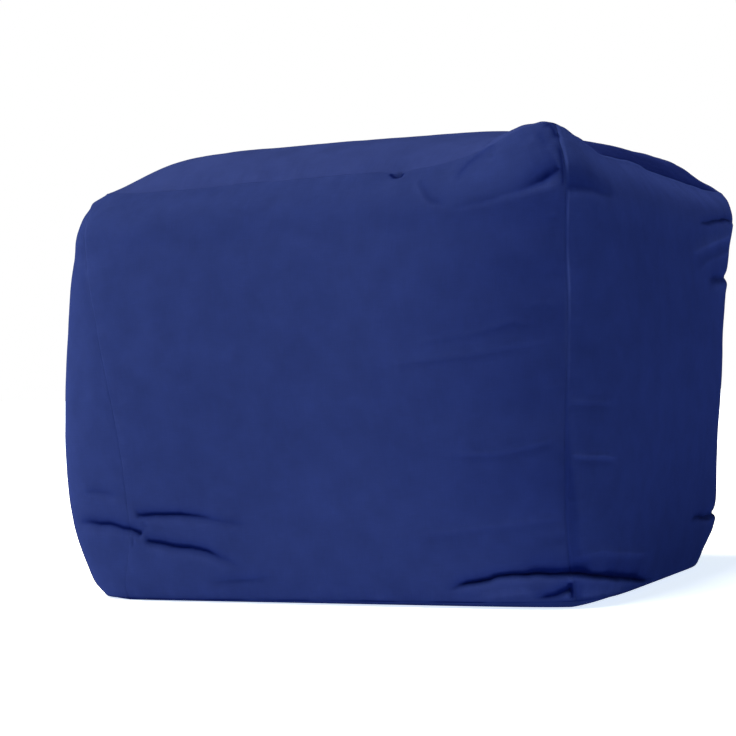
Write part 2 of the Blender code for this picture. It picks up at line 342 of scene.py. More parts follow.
        front, right, back, left = edge(0, u), edge(1, v), edge(2, 1 - u), edge(3, 1 - v)
        u = u[..., None]
        v = v[..., None]
        near_left, near_right, far_right, far_left = (edge(side, np.zeros(1))[0] for side in range(4))
        ruled = (1 - v) * front + v * back + (1 - u) * left + u * right
        bilinear = ((1 - u) * (1 - v) * near_left + u * (1 - v) * near_right
                    + u * v * far_right + (1 - u) * v * far_left)
        return ruled - bilinear

    def pulled(self, point: Array) -> Array:
        """Add the ears at the corners and the pucker of the top seam.

        Args:
            point: Points, three columns.

        Returns:
            The moved points.
        """
        total = np.zeros_like(point)
        for pull in self.pulls:
            away = (point / MM - np.array(pull.place)) / np.array(pull.reach)
            far = np.sqrt(np.sum(away**2, axis=-1) + self.pull_tip)
            weight = self.pull_peak * np.exp(-self.pull_sharpness * far**pull.power)
            total += weight[..., None] * np.array(pull.move) * MM
        return point + total


# Creases and ridges, placed one by one on the upright panels

@dataclass(frozen=True)
class Fold:
    """A crease along a smooth line on the upright panels.

    The cloth above slopes in to a narrow cleft, and the cloth below starts again with a crisp edge.
    Each point of the line is a turn and a height. Heights and all else are in millimetres. Each pair
    is a depth and a width, but the fade is two lengths, at the start and the end of the line. A
    negative depth makes a ridge. The shade is painted shade in the cloth's colour, above the line and
    just below it, and a negative shade is painted light. The length of the name picks the noise by
    which the line wavers.
    """

    name: str
    line: Line
    cleft: Pair
    slope: Pair = (0.0, 8.0)
    lip: float = 0.0
    fade: Pair = (20.0, 20.0)
    overhang: float = 0.0
    waver: float = 0.7
    shade: Pair = (0.0, 6.0)

    LINE_STEPS = 48
    LIP_PLACE = 1.9
    LIP_SPREAD = 1.6
    SHADE_BELOW = 1.6
    TIP = 0.12
    SHARP = 1.15
    REACH = 5.0
    WAVER_PITCH = 11.0 * MM
    FINE_WAVER = 0.4
    UNEVEN = 0.35
    SLOPE_POWER = 1.5
    SHADE_POWER = 1.7
    HANG_PLACE = 0.7

    def path(self, span: float) -> Array:
        """Find the line on the flattened cloth.

        Args:
            span: Length of one turn.

        Returns:
            Points in metres, across and up.
        """
        places = np.linspace(0.0, len(self.line) - 1.0, self.LINE_STEPS)
        knots = list(range(len(self.line)))
        across = smooth_between(places, knots, [point[0] * span for point in self.line])
        up = smooth_between(places, knots, [point[1] * MM for point in self.line])
        return np.stack([across, up], axis=-1)

    def measured(self, spot: Array, path: Array) -> tuple[Array, Array, float]:
        """Measure points against the line.

        Args:
            spot: Points on the flattened cloth.
            path: The line.

        Returns:
            Distance above the line, place along it, and the line's length.
        """
        starts = path[:-1]
        legs = path[1:] - starts
        lengths = np.linalg.norm(legs, axis=-1)
        offset = spot[:, None, :] - starts
        share = np.clip(np.sum(offset * legs, axis=-1) / lengths**2, 0.0, 1.0)
        gap = np.linalg.norm(offset - share[..., None] * legs, axis=-1)
        best = np.argmin(gap, axis=-1)
        row = np.arange(len(best))
        side = legs[best, 0] * offset[row, best, 1] - legs[best, 1] * offset[row, best, 0]
        run = np.concatenate([[0.0], np.cumsum(lengths)])
        place = run[best] + share[row, best] * lengths[best]
        return np.where(side >= 0, 1.0, -1.0) * gap[row, best], place, run[-1]

    def effect(self, across: Array, up: Array, span: float) -> tuple[Array, ...]:
        """Work out what the fold does to the cloth.

        Args:
            across: Place of each point round the body, in metres along its sides.
            up: Height of each point.
            span: Length of one turn.

        Returns:
            How far each point moves outwards, how far it moves down, and how much shade is painted on it
            (painted light where negative).
        """
        path = self.path(span)
        lift, drop, painted_shade = np.zeros((3, len(up)))
        around = 4.0 * span
        middle = (path[:, 0].min() + path[:, 0].max()) / 2
        across = np.mod(across - middle + around / 2, around) - around / 2 + middle
        depth, width = self.cleft
        slope_depth, slope_width = self.slope
        shade, shade_width = self.shade
        margin = self.REACH * max(width, slope_width) * MM
        near = ((across > path[:, 0].min() - margin) & (across < path[:, 0].max() + margin)
                & (up > path[:, 1].min() - margin) & (up < path[:, 1].max() + margin))
        if not near.any():
            return lift, drop, painted_shade
        spot = np.stack([across[near], up[near]], axis=-1)
        signed, place, length = self.measured(spot, path)
        along = np.stack([place, np.full_like(place, path[0, 0]), np.zeros_like(place)], axis=-1)
        noise = SoftNoise(len(self.name))
        fine = self.FINE_WAVER * noise.at(along + 3.0, self.WAVER_PITCH / 3)
        signed = signed / MM + self.waver * (noise.at(along, self.WAVER_PITCH) + fine)
        uneven = 1.0 + self.UNEVEN * noise.at(along + 5.0, 2 * self.WAVER_PITCH)
        fade = (smooth_step(place / (self.fade[0] * MM))
                * smooth_step((length - place) / (self.fade[1] * MM))) * uneven
        far = np.sqrt((signed / width)**2 + self.TIP**2) - self.TIP
        cleft = -depth * np.exp(-far**self.SHARP)
        reach = np.where(signed > 0, slope_width, width)
        slope = -slope_depth * np.exp(-(np.abs(signed) / reach)**self.SLOPE_POWER)
        lip = self.lip * np.exp(-((signed / width + self.LIP_PLACE) / self.LIP_SPREAD)**2)
        hang = self.overhang * np.exp(-((signed / slope_width - self.HANG_PLACE) / self.HANG_PLACE)**2)
        lift[near] = fade * (cleft + slope + lip) * MM
        drop[near] = fade * hang * MM
        spread = np.where(signed > 0, shade_width, self.SHADE_BELOW)
        painted_shade[near] = fade * shade * np.exp(-(np.abs(signed) / spread)**self.SHADE_POWER) * MM
        return lift, drop, painted_shade


def ridge(name: str, line: Line, rise: Pair, crease: float, fade: Pair) -> Fold:
    """Give a soft ridge with a faint crease below it."""
    return Fold(name, line, (-rise[0], rise[1]), lip=-crease, fade=fade)


def painted_shading(name: str, line: Line, shade: Pair, fade: Pair, waver: float = 0.0, reach: float = 8.0) -> Fold:
    """Give a line of painted shade on cloth that lies smooth; a negative shade paints light instead."""
    return Fold(name, line, (0.0, 2.0), (0.0, reach), fade=fade, waver=waver, shade=shade)


FOLDS = (
    Fold("strip crease", ((4.01, 72), (4.05, 73), (4.081, 72), (4.118, 71), (4.145, 68), (4.163, 65),
         (4.174, 61)), (1.7, 3.6), (1.6, 7), 0.6, (24, 5), 1, shade=(4.7, 5.2)),
    Fold("strip upper crease", ((4.04, 100), (4.09, 101), (4.15, 98)), (0.7, 2.6), (0.8, 6), 0, (14, 22)),
    Fold("upper left crease", ((0.168, 81), (0.19, 81), (0.235, 81), (0.267, 81), (0.297, 80), (0.34, 76),
         (0.42, 71)), (1.6, 3.2), (1.2, 6), 0.5, (3, 75), 0.7, shade=(3.7, 4.2)),
    Fold("lower left crease", ((0.173, 58), (0.196, 56), (0.238, 52), (0.289, 50), (0.317, 45),
         (0.348, 39), (0.375, 32)), (1.8, 3.4), (1.3, 6.5), 0.6, (3, 45), 1, shade=(4.2, 4.6)),
    Fold("low left crease", ((0.275, 20), (0.34, 22), (0.372, 23), (0.44, 27)), (0.7, 2.8), (1.1, 6), 0,
         (24, 26)),
    Fold("tick by the left seam", ((0.15, 61), (0.147, 56), (0.142, 50)), (1.3, 1.5), (0, 3), 0, (3, 6),
         waver=0.2),
    Fold("upper tick by the left seam", ((0.178, 76), (0.186, 71), (0.196, 70)), (1.1, 1.5), (0, 3), 0,
         (3, 5), waver=0.2),
    Fold("hook", ((0.719, 371), (0.729, 363), (0.741, 356), (0.756, 349), (0.776, 345), (0.8, 343)),
         (0.7, 1.8), (1, 5), 0.5, (8, 20)),
    Fold("fold under the ear", ((0.765, 345), (0.815, 342), (0.865, 343), (0.898, 345), (0.942, 347),
         (0.967, 349), (0.984, 352)), (0.5, 1.8), (1, 9), 0.8, (50, 6)),
    Fold("soft hollow left of the ear", ((0.866, 382), (0.842, 380), (0.82, 376), (0.804, 368),
         (0.799, 360)), (0.9, 6.5), (0, 8), 0.3, (5, 12)),
    ridge("short ridge under the ear", ((0.961, 326), (0.975, 328), (0.992, 328)), (0.7, 1.4), 0.4,
          (7, 3)),
    ridge("short ridge below the middle", ((0.966, 190), (0.985, 192), (1.002, 193)), (0.6, 1.5), 0.3,
          (8, 3)),
    ridge("first ridge", ((0.74, 226), (0.779, 232), (0.858, 238), (0.922, 246), (0.965, 244)), (0.8, 2),
          0.7, (40, 14)),
    ridge("second ridge", ((0.69, 208), (0.732, 214), (0.859, 220), (0.939, 226), (0.985, 231)), (0.7, 2),
          0.6, (45, 10)),
    ridge("third ridge", ((0.94, 257), (0.968, 261), (0.988, 262)), (0.6, 1.6), 0.4, (12, 4)),
    ridge("fourth ridge", ((0.77, 135), (0.806, 136), (0.903, 137), (0.985, 146)), (0.8, 2.2), 0.6,
          (40, 8)),
    ridge("fifth ridge", ((0.71, 66), (0.757, 69), (0.887, 75), (0.975, 80)), (0.7, 2.4), 0.5, (40, 14)),
    Fold("floor fold", ((0.757, 14), (0.77, 19), (0.794, 23), (0.83, 27), (0.878, 32), (0.924, 34),
         (0.965, 34), (1.001, 33), (1.041, 29), (1.116, 24), (1.253, 15), (1.38, 9)), (1.9, 2.4), (2.6, 8),
         1, (34, 60), 1.5, shade=(4, 4)),
    Fold("deep part of the floor fold", ((0.9, 35), (0.94, 37), (0.985, 37), (1.03, 34)), (0.6, 3),
         (0.8, 7), 0, (22, 12), 0.5, shade=(3.6, 8.5)),
    Fold("far part of the floor fold", ((1.05, 31), (1.11, 27), (1.19, 22), (1.26, 17)), (0.5, 3),
         (0.6, 7), 0, (14, 14), 0.5, shade=(2.8, 7.5)),
    Fold("floor notch", ((0.92, 9), (0.955, 13), (0.974, 16), (0.992, 19)), (1.5, 2.6), (1.4, 5), 0.6,
         (16, 2), shade=(5, 6.5)),
    Fold("notch by the near seam", ((0.987, 26), (0.99, 18), (0.991, 8)), (1.8, 1.7), (0, 4), 0.8, (3, 3),
         waver=0.3, shade=(5.4, 2.8)),
    painted_shading("lit cloth below the floor fold", ((1, 11), (1.05, 11), (1.11, 10), (1.17, 9)), (-1.6, 9),
         (5, 30), 0.5),
    painted_shading("lit cloth left of the notch", ((0.8, 8), (0.86, 12), (0.93, 16)), (-1, 9), (20, 12), 0.5),
    ridge("right ridge", ((1, 131), (1.045, 129), (1.12, 127)), (0.8, 2.2), 0.5, (5, 25)),
    ridge("right upper ridge", ((1.004, 179), (1.06, 176), (1.128, 174)), (0.6, 2), 0.4, (5, 25)),
    ridge("right low ridge", ((0.985, 46), (1.047, 48), (1.16, 42), (1.321, 36)), (0.8, 3), 0.6, (5, 40)),
    Fold("shade under the right top edge", ((0.999, 343), (1.013, 344), (1.066, 348), (1.15, 354)),
         (0.5, 2), (0.8, 9), 0.7, (2, 70), shade=(3.5, 11)),
    Fold("shade above the ear's fold", ((0.895, 345), (0.942, 348), (0.967, 350), (0.992, 356)), (0.4, 2),
         (0.6, 7), 0.7, (35, 2), shade=(3.6, 9)),
    Fold("tip of the ear", ((0.98, 380), (0.99, 382), (0.993, 379), (0.996, 375), (1, 377)), (0.9, 1.4),
         (0, 3), 0, (3, 2), shade=(4.5, 1.8)),
    Fold("small fold in the ear", ((0.97, 379), (0.974, 372), (0.977, 366)), (0.5, 2.6), (0, 3), 0, (4, 6),
         shade=(2.4, 5)),
    Fold("soft band left of the ear", ((0.88, 381), (0.859, 380), (0.835, 377), (0.815, 373), (0.803, 368),
         (0.802, 360)), (0.3, 4), (0, 4), 0.2, (3, 12), shade=(2.6, 3)),
    Fold("edge of the near seam", ((0.996, 369), (0.995, 363), (0.995, 356), (0.995, 350), (0.995, 343)),
         (0.4, 1.2), (0, 3), 0, (4, 4), waver=0.2, shade=(5, 1.3)),
    painted_shading("left arm of the pucker", ((0.645, 381.2), (0.6635, 375)), (8.8, 2), (3, 0.3)),
    painted_shading("right arm of the pucker", ((0.6625, 375), (0.677, 382.2)), (8.2, 1.8), (0.3, 3)),
    painted_shading("shade beside the near seam", ((1, 30), (1, 150), (1, 280), (0.999, 346)), (1.8, 95), (30, 5),
         reach=30),
    Fold("back corner crease", ((1.64, 345), (1.7, 348), (1.78, 352), (1.859, 356), (1.97, 358)),
         (1.7, 2.1), (1.6, 5.5), 0.5, (32, 16), 0.5),
    ridge("back corner first pull", ((1.555, 314), (1.671, 323), (1.82, 335), (1.93, 342)), (1.4, 5), 0.7,
          (50, 30)),
    ridge("back corner second pull", ((1.603, 299), (1.698, 308), (1.819, 318), (1.93, 324)), (1, 4), 0.5,
          (45, 30)),
    Fold("back corner notch", ((1.69, 290), (1.758, 294), (1.83, 296), (2.02, 302)), (2, 3.6), (1.2, 8),
         0.9, (40, 40)),
    Fold("back corner low pull", ((1.625, 58), (1.701, 59), (1.786, 56), (2.04, 50)), (2, 2.6), (1.8, 8),
         0.7, (34, 40)),
    Fold("back floor fold", ((2.28, 12), (2.4, 23), (2.52, 27), (2.66, 22), (2.8, 13)), (3.4, 2.4),
         (4, 10), 1.2, (30, 35), 1.5),
    Fold("back upper pull", ((2.06, 336), (2.16, 324), (2.27, 317), (2.44, 322)), (1.6, 3), (2.2, 9), 0.8,
         (25, 50)),
    Fold("left floor fold", ((3.18, 18), (3.3, 30), (3.42, 33), (3.54, 27), (3.62, 20)), (3.2, 2.4),
         (3.8, 10), 1.2, (25, 30), 1.5),
    Fold("left upper pull", ((3.06, 350), (3.16, 337), (3.28, 330), (3.46, 336)), (1.6, 3), (2.2, 9), 0.8,
         (20, 50)),
)


# The weave and colour of the cloth

class Value:
    """A socket of a material, on which Python's own operators add Math nodes."""

    def __init__(self, graph: "Graph", socket: bpy.types.NodeSocket) -> None:
        """Keep the graph and the socket."""
        self.graph = graph
        self.socket = socket

    def math(self, operation: str, *others: "Value | float", swap: bool = False) -> "Value":
        """Add a Math node.

        Args:
            operation: The node's operation.
            others: The values that follow this one.
            swap: True to put this value last.

        Returns:
            The node's result.
        """
        values = [self, *others]
        if swap:
            values.reverse()
        links = {place: value for place, value in enumerate(values)}
        return self.graph.add("ShaderNodeMath", {"operation": operation}, links)

    def __add__(self, other: "Value | float") -> "Value":
        """Add a value."""
        return self.math("ADD", other)

    __radd__ = __add__

    def __mul__(self, other: "Value | float") -> "Value":
        """Multiply by a value."""
        return self.math("MULTIPLY", other)

    __rmul__ = __mul__

    def __sub__(self, other: "Value | float") -> "Value":
        """Take a value away."""
        return self.math("SUBTRACT", other)

    def __rsub__(self, other: "Value | float") -> "Value":
        """Take this from a value."""
        return self.math("SUBTRACT", other, swap=True)

    def __abs__(self) -> "Value":
        """Drop the sign."""
        return self.math("ABSOLUTE")

    def sine(self) -> "Value":
        """Take the sine."""
        return self.math("SINE")

    def above(self, limit: float) -> "Value":
        """Give 1 where this is above a limit, or else 0."""
        return self.math("GREATER_THAN", limit)

    def clamped(self) -> "Value":
        """Keep this between 0 and 1."""
        return self.math("MAXIMUM", 0.0).math("MINIMUM", 1.0)


class Graph:
    """The nodes of one material, or of the surroundings."""

    def __init__(self, owner: bpy.types.Material | bpy.types.World) -> None:
        """Switch its nodes on."""
        owner.use_nodes = True
        self.owner = owner
        self.tree = owner.node_tree

    def put(self, socket: bpy.types.NodeSocket, value: object) -> None:
        """Link a value to a socket, or set the socket."""
        if isinstance(value, Value):
            self.tree.links.new(value.socket, socket)
        else:
            socket.default_value = value

    def add(self, kind: str, settings: dict, values: dict, output: str | int = 0) -> Value:
        """Add one node.

        Args:
            kind: The node's type.
            settings: Its own settings, set first.
            values: What goes into its sockets, by their names or numbers.
            output: The output that is returned.

        Returns:
            The chosen output.
        """
        node = self.tree.nodes.new(kind)
        for key, setting in settings.items():
            setattr(node, key, setting)
        for key, value in values.items():
            self.put(node.inputs[key], value)
        return Value(self, node.outputs[output])

    def noise(self, vector: Value, scale: float, detail: float, roughness: float = 0.5) -> Value:
        """Add a noise texture, from 0 to 1."""
        return self.add("ShaderNodeTexNoise", {"noise_dimensions": "3D"},
                        {"Vector": vector, "Scale": scale, "Detail": detail, "Roughness": roughness}, "Fac")

    def tinted(self, factor: Value | float, first: object, second: object, blend: str = "MIX") -> Value:
        """Mix two colours by a factor."""
        sockets = {"Factor": factor, 6: first, 7: second}
        return self.add("ShaderNodeMix", {"data_type": "RGBA", "blend_type": blend}, sockets, 2)

    def finished(self, node: str, values: dict) -> bpy.types.Material | bpy.types.World:
        """Put the last values into a node that was there from the start, and give the owner."""
        for key, value in values.items():
            self.put(self.tree.nodes[node].inputs[key], value)
        return self.owner


@dataclass(frozen=True)
class WovenCloth:
    """The navy outdoor cloth: a plain weave of matt yarn, a little worn at the seams and ridges.

    Its worn colour also stands for painted light on ridges and pale bands, and its creases, hollows
    and bottom edges are darkened by painted shade.
    """

    colour: Triple
    worn_and_lit: Triple
    shade: Triple
    yarn_pitch: float = 0.0009
    weave_height: float = 0.00016
    slub_height: float = 0.00012
    mottle_height: float = 0.0004
    slub_scales: Pair = (1400.0, 60.0)
    patch_scale: float = 9.0
    blotch_scale: float = 42.0
    mottle_scale: float = 160.0
    painted_shade_tint: Triple = (0.32, 0.26, 0.12)
    deep_painted_shade_tint: Triple = (0.85, 0.76, 0.50)
    roughness: float = 0.78
    sheen: float = 0.05
    sheen_roughness: float = 0.5
    sheen_tint: Rgba = (0.12, 0.20, 1.0, 1.0)
    specular: float = 0.0

    def weave(self, graph: Graph, across: Value, up: Value) -> Value:
        """Work out how high the yarns stand.

        Args:
            graph: The material's nodes.
            across: Place across the cloth, in metres.
            up: Place along the cloth, in metres.

        Returns:
            0 between the yarns to 1 on top of one.
        """
        warp = (across * (math.pi / self.yarn_pitch)).sine()
        weft = (up * (math.pi / self.yarn_pitch)).sine()
        over = (warp * weft).above(0.0)
        warp_top = abs(warp)
        weft_top = abs(weft)
        return over * warp_top + (1.0 - over) * weft_top

    def material(self, name: str) -> bpy.types.Material:
        """Make the cloth's material.

        Args:
            name: The material's name.

        Returns:
            The material.
        """
        graph = Graph(bpy.data.materials.new(name))
        cut = graph.add("ShaderNodeUVMap", {"uv_map": "Cut"}, {}, "UV")
        place = graph.add("ShaderNodeTexCoord", {}, {}, "Object")
        # The attribute carries the cloth's relief and wear together with its painted light and shade.
        relief_and_shading = graph.add("ShaderNodeAttribute", {"attribute_name": "ReliefAndShading"}, {}, "Fac")
        across = graph.add("ShaderNodeSeparateXYZ", {}, {0: cut}, "X")
        up = graph.add("ShaderNodeSeparateXYZ", {}, {0: cut}, "Y")
        weave = self.weave(graph, across, up)
        thin, long = self.slub_scales
        warp = graph.add("ShaderNodeCombineXYZ", {}, {"X": across * thin, "Y": up * long})
        weft = graph.add("ShaderNodeCombineXYZ", {}, {"X": across * long, "Y": up * thin})
        slubs = (graph.noise(warp, 1.0, 2.0) + graph.noise(weft, 1.0, 2.0)) * 0.5
        patches = graph.noise(place, self.patch_scale, 3.0, 0.55)
        blotches = graph.noise(place, self.blotch_scale, 2.0)
        mottle = graph.noise(place, self.mottle_scale, 3.0, 0.6)
        # high pales the cloth to its worn colour, for wear on seams and ridges and for painted light; low
        # and the deeper mask are painted shade in creases, hollows and along the bottom.
        high = (relief_and_shading * 2.4).clamped()
        low = (relief_and_shading * -2.7).clamped()
        deep_painted_shade = (relief_and_shading * -2.0 - 0.86).clamped()
        patchy = ((patches - 0.5) * 1.2 + 0.5).clamped()
        base = graph.tinted(patchy, (*self.shade, 1.0), (*self.colour, 1.0))
        worn_and_lit = graph.tinted((high + (mottle - 0.5) * 0.35).clamped(), base, (*self.worn_and_lit, 1.0))
        bright = 0.88 + weave * 0.12 + (slubs - 0.5) * 0.40 + (blotches - 0.5) * 0.32
        # tone is the yarn's own brightness, darkened by the painted shade.
        tone = graph.add("ShaderNodeCombineColor", {}, {
            name: bright * (1.0 - low * of_low) * (1.0 - deep_painted_shade * of_deep)
            for name, of_low, of_deep in zip(("Red", "Green", "Blue"), self.painted_shade_tint, self.deep_painted_shade_tint)})
        height = weave * self.weave_height + slubs * self.slub_height + mottle * self.mottle_height
        bump = {"Strength": 0.55, "Distance": 1.0, "Height": height}
        return graph.finished("Principled BSDF", {
            "Base Color": graph.tinted(1.0, worn_and_lit, tone, "MULTIPLY"),
            "Roughness": self.roughness + (mottle - 0.5) * 0.10 + low * 0.08 - high * 0.05,
            "Normal": graph.add("ShaderNodeBump", {}, bump, "Normal"),
            "Metallic": 0.0,
            "Specular IOR Level": self.specular,
            "Sheen Weight": self.sheen,
            "Sheen Roughness": self.sheen_roughness,
            "Sheen Tint": self.sheen_tint})


# The panels

def graded_shares(length: float, steps: Line) -> Array:
    """Place the lines of a mesh, close together where the cloth is most bent.

    Args:
        length: Length of the panel.
        steps: Pairs of a place and the step wanted there, from one end to the other.

    Returns:
        Shares of the length, from 0 to 1.
    """
    places, sizes = zip(*steps)
    lines = [0.0]
    while lines[-1] < length:
        lines.append(lines[-1] + float(np.interp(lines[-1], places, sizes)))
    return np.array(lines) / lines[-1]


def both_ends(length: float, near: Line, between: Line = ()) -> Line:
    """Repeat the steps near one end at the other end."""
    return (*near, *between, *((length - place, step) for place, step in reversed(near)))


class Edge(Enum):
    """The four seams round a panel."""

    LEFT = "left"
    RIGHT = "right"
    BOTTOM = "bottom"
    TOP = "top"


@dataclass(frozen=True)
class SewnEdge:
    """How the cloth turns in at a seam."""

    draw: float = 1.6 * MM
    draw_reach: float = 5.0 * MM
    draw_power: float = 1.5
    turn_in: float = 0.9 * MM
    turn_in_reach: float = 0.7 * MM
    bead: float = 0.25 * MM
    bead_place: float = 1.9 * MM
    bead_spread: float = 1.0 * MM
    pucker: float = 0.45 * MM
    pucker_length: float = 14.0 * MM
    pucker_pitch: float = 7.0 * MM
    pucker_start: float = 2.0 * MM
    wear_place: float = 1.3 * MM
    wear_spread: float = 0.8 * MM
    # How far painted shade spreads from a seam.
    painted_shade_spread: float = 1.6 * MM

    def depth(self, distance: Array) -> Array:
        """How far the cloth is drawn towards the body's middle at a distance from the seam."""
        broad = self.draw * np.exp(-(distance / self.draw_reach)**self.draw_power)
        fine = self.turn_in * np.exp(-distance / self.turn_in_reach)
        bead = self.bead * np.exp(-((distance - self.bead_place) / self.bead_spread)**2)
        return broad + fine - bead


@dataclass
class Panel:
    """One sewn panel, with its share of the filling behind it.

    While it is built, u and v hold each point's share across and up, and distances holds how far
    each point is from the four seams.
    """

    node: str
    body: FilledBody
    cloth: WovenCloth
    axis: Triple
    columns: Line
    rows: Line
    width: float
    height: float
    seed: int
    beads: dict[Edge, float] = field(default_factory=dict)
    grooves: dict[Edge, float] = field(default_factory=dict)
    # Wear along each seam: paler where above 0, painted shade where below 0.
    wear_and_shading: dict[Edge, float] = field(default_factory=dict)
    faded_and_lit: dict[Edge, float] = field(default_factory=dict)
    half_gap: float = 0.00005
    flipped: bool = False
    edge: SewnEdge = SewnEdge()
    u: Array = field(init=False, repr=False)
    v: Array = field(init=False, repr=False)
    distances: dict[Edge, Array] = field(init=False, repr=False)

    RELIEF_SCALE = 7.0 * MM
    PLAIN_WEAR = 0.5 * MM
    FADED_AND_LIT_AMOUNT = 3.0 * MM
    WEAR_PITCH = 18.0 * MM
    WEAR_PATCHES = 0.6
    WEAR_START = 0.30
    WEAR_RISE = 0.45
    CALM_HEIGHT = 30.0 * MM
    LUMPS = ((110.0 * MM, 1.7 * MM), (34.0 * MM, 0.65 * MM), (13.0 * MM, 0.15 * MM))

    def surface(self) -> tuple[Array, Array]:
        """Shape the panel's outer side.

        Returns:
            Points, and how far each is raised over the cloth round it, with its wear and its painted light
            and shade added in.
        """
        raise NotImplementedError

    def lay_out(self, u: Array, v: Array) -> None:
        """Keep each point's shares across and up, and measure how far it is from the seams."""
        self.u, self.v = u, v
        self.distances = {Edge.LEFT: u * self.width, Edge.RIGHT: (1 - u) * self.width,
                          Edge.BOTTOM: v * self.height, Edge.TOP: (1 - v) * self.height}

    def along(self, side: Edge) -> Array:
        """Give each point's place along a seam."""
        return self.v * self.height if side in (Edge.LEFT, Edge.RIGHT) else self.u * self.width

    def drawn_in(self, point: Array) -> Array:
        """Draw the cloth in at the seams.

        Args:
            point: Points, three columns.

        Returns:
            The moved points.
        """
        inward = np.array(self.body.middle) - point
        inward /= np.linalg.norm(inward, axis=-1)[..., None]
        depth = np.maximum.reduce([self.grooves.get(side, 1.0) * self.edge.depth(distance)
                                   for side, distance in self.distances.items()])
        for side, extra in self.beads.items():
            away = (self.distances[side] - self.edge.bead_place) / self.edge.bead_spread
            depth -= extra * np.exp(-away**2)
        return point + inward * depth[..., None]

    def puckers(self) -> Array:
        """Work out the small puckers that run in from the seams.

        Returns:
            How far each point moves outwards.
        """
        edge = self.edge
        total = np.zeros(len(self.u))
        for number, (side, distance) in enumerate(self.distances.items()):
            ripple = SoftNoise(self.seed * 10 + number)
            spot = np.stack([self.along(side), distance, np.zeros(len(self.u))], axis=-1)
            fine = ripple.at(spot, (edge.pucker_pitch, 4 * edge.pucker_pitch, 1.0))
            slow = ripple.at(spot + 7.0, (6 * edge.pucker_pitch, 1.0, 1.0))
            reach = edge.pucker_length * (1.0 + 0.5 * slow)
            rise = 1.0 - np.exp(-distance / edge.pucker_start)
            total += edge.pucker * fine * (0.7 + 0.6 * slow) * rise * np.exp(-(distance / reach)**2)
        return total

    def wear_and_shading_relief(self) -> Array:
        """Work out the wear along the seams, with its painted light and shade, as if it were relief.

        Returns:
            Above 0 where the cloth is paler from wear or painted light, below 0 where shade is painted.
        """
        total = np.zeros(len(self.u))
        for number, (side, distance) in enumerate(self.distances.items()):
            amount = self.wear_and_shading.get(side, self.PLAIN_WEAR)
            spot = np.stack([self.along(side), np.zeros(len(self.u)), np.zeros(len(self.u))], axis=-1)
            noise = SoftNoise(self.seed * 10 + 5 + number)
            fade = 1.0 + self.WEAR_PATCHES * noise.at(spot, self.WEAR_PITCH)
            if side in (Edge.LEFT, Edge.RIGHT):
                fade = fade * smooth_step((self.v - self.WEAR_START) / self.WEAR_RISE)
            place = self.edge.wear_place if amount > 0 else 0.0
            spread = self.edge.wear_spread if amount > 0 else self.edge.painted_shade_spread
            total += amount * fade * np.exp(-((distance - place) / spread)**2)
            # A pale band along a seam: partly sun fading and partly painted light where the cloth turns up
            # to the lamps.
            if side in self.faded_and_lit:
                total += self.FADED_AND_LIT_AMOUNT * np.exp(-(distance / self.faded_and_lit[side])**2)
        return total

    def sag(self, point: Array) -> Array:
        """Move points by the unevenness of the filling, the same on every panel.

        Args:
            point: Points, three columns.

        Returns:
            The moved points.
        """
        calm = smooth_step(point[:, 2] / self.CALM_HEIGHT)
        total = np.zeros_like(point)
        for axis in range(3):
            for number, (size, height) in enumerate(self.LUMPS, start=1):
                total[:, axis] += height * calm * SoftNoise(100 * number + axis).at(point, size)
        for crumple in self.body.crumples:
            far = np.linalg.norm(point / MM - np.array(crumple.place), axis=-1) / crumple.reach
            height = crumple.height * MM * np.exp(-far**2)
            for axis in range(3):
                total[:, axis] += height * SoftNoise(400 + axis).at(point, crumple.pitch * MM)
        return point + total

    def build(self) -> bpy.types.Object:
        """Build the panel's mesh, close it behind the cloth and link it.

        Returns:
            The panel's object.
        """
        across = graded_shares(self.width, self.columns)
        upward = graded_shares(self.height, self.rows)
        mesh_data = bmesh.new()
        bmesh.ops.create_grid(mesh_data, x_segments=len(across) - 1, y_segments=len(upward) - 1, size=0.5)
        grid = np.array([vert.co for vert in mesh_data.verts]) + 0.5
        u = np.interp(grid[:, 0], np.linspace(0, 1, len(across)), across)
        v = np.interp(grid[:, 1], np.linspace(0, 1, len(upward)), upward)
        self.lay_out(u, v)
        points, raised_worn_and_shaded = self.surface()
        points = points + np.array(self.axis) * self.half_gap
        for vert, point in zip(mesh_data.verts, points.tolist()):
            vert.co = point
        self.close_behind(mesh_data)
        if self.flipped:
            bmesh.ops.reverse_faces(mesh_data, faces=mesh_data.faces)
        mesh = bpy.data.meshes.new(self.node + "_cloth")
        mesh_data.to_mesh(mesh)
        mesh_data.free()
        self.mark(mesh, raised_worn_and_shaded)
        mesh.shade_smooth()
        mesh.set_sharp_from_angle(angle=math.radians(60))
        piece = bpy.data.objects.new(self.node + "_cloth", mesh)
        bpy.context.scene.collection.objects.link(piece)
        return piece

    def close_behind(self, mesh_data: bmesh.types.BMesh) -> None:
        """Draw the panel's rim to the middle of the body, so that the piece is closed."""
        rim = [edge for edge in mesh_data.edges if edge.is_boundary]
        made = bmesh.ops.extrude_edge_only(mesh_data, edges=rim)
        inner = [item for item in made["geom"] if isinstance(item, bmesh.types.BMVert)]
        apex = Vector(self.body.middle) + Vector(self.axis) * self.half_gap
        bmesh.ops.pointmerge(mesh_data, verts=inner, merge_co=apex)

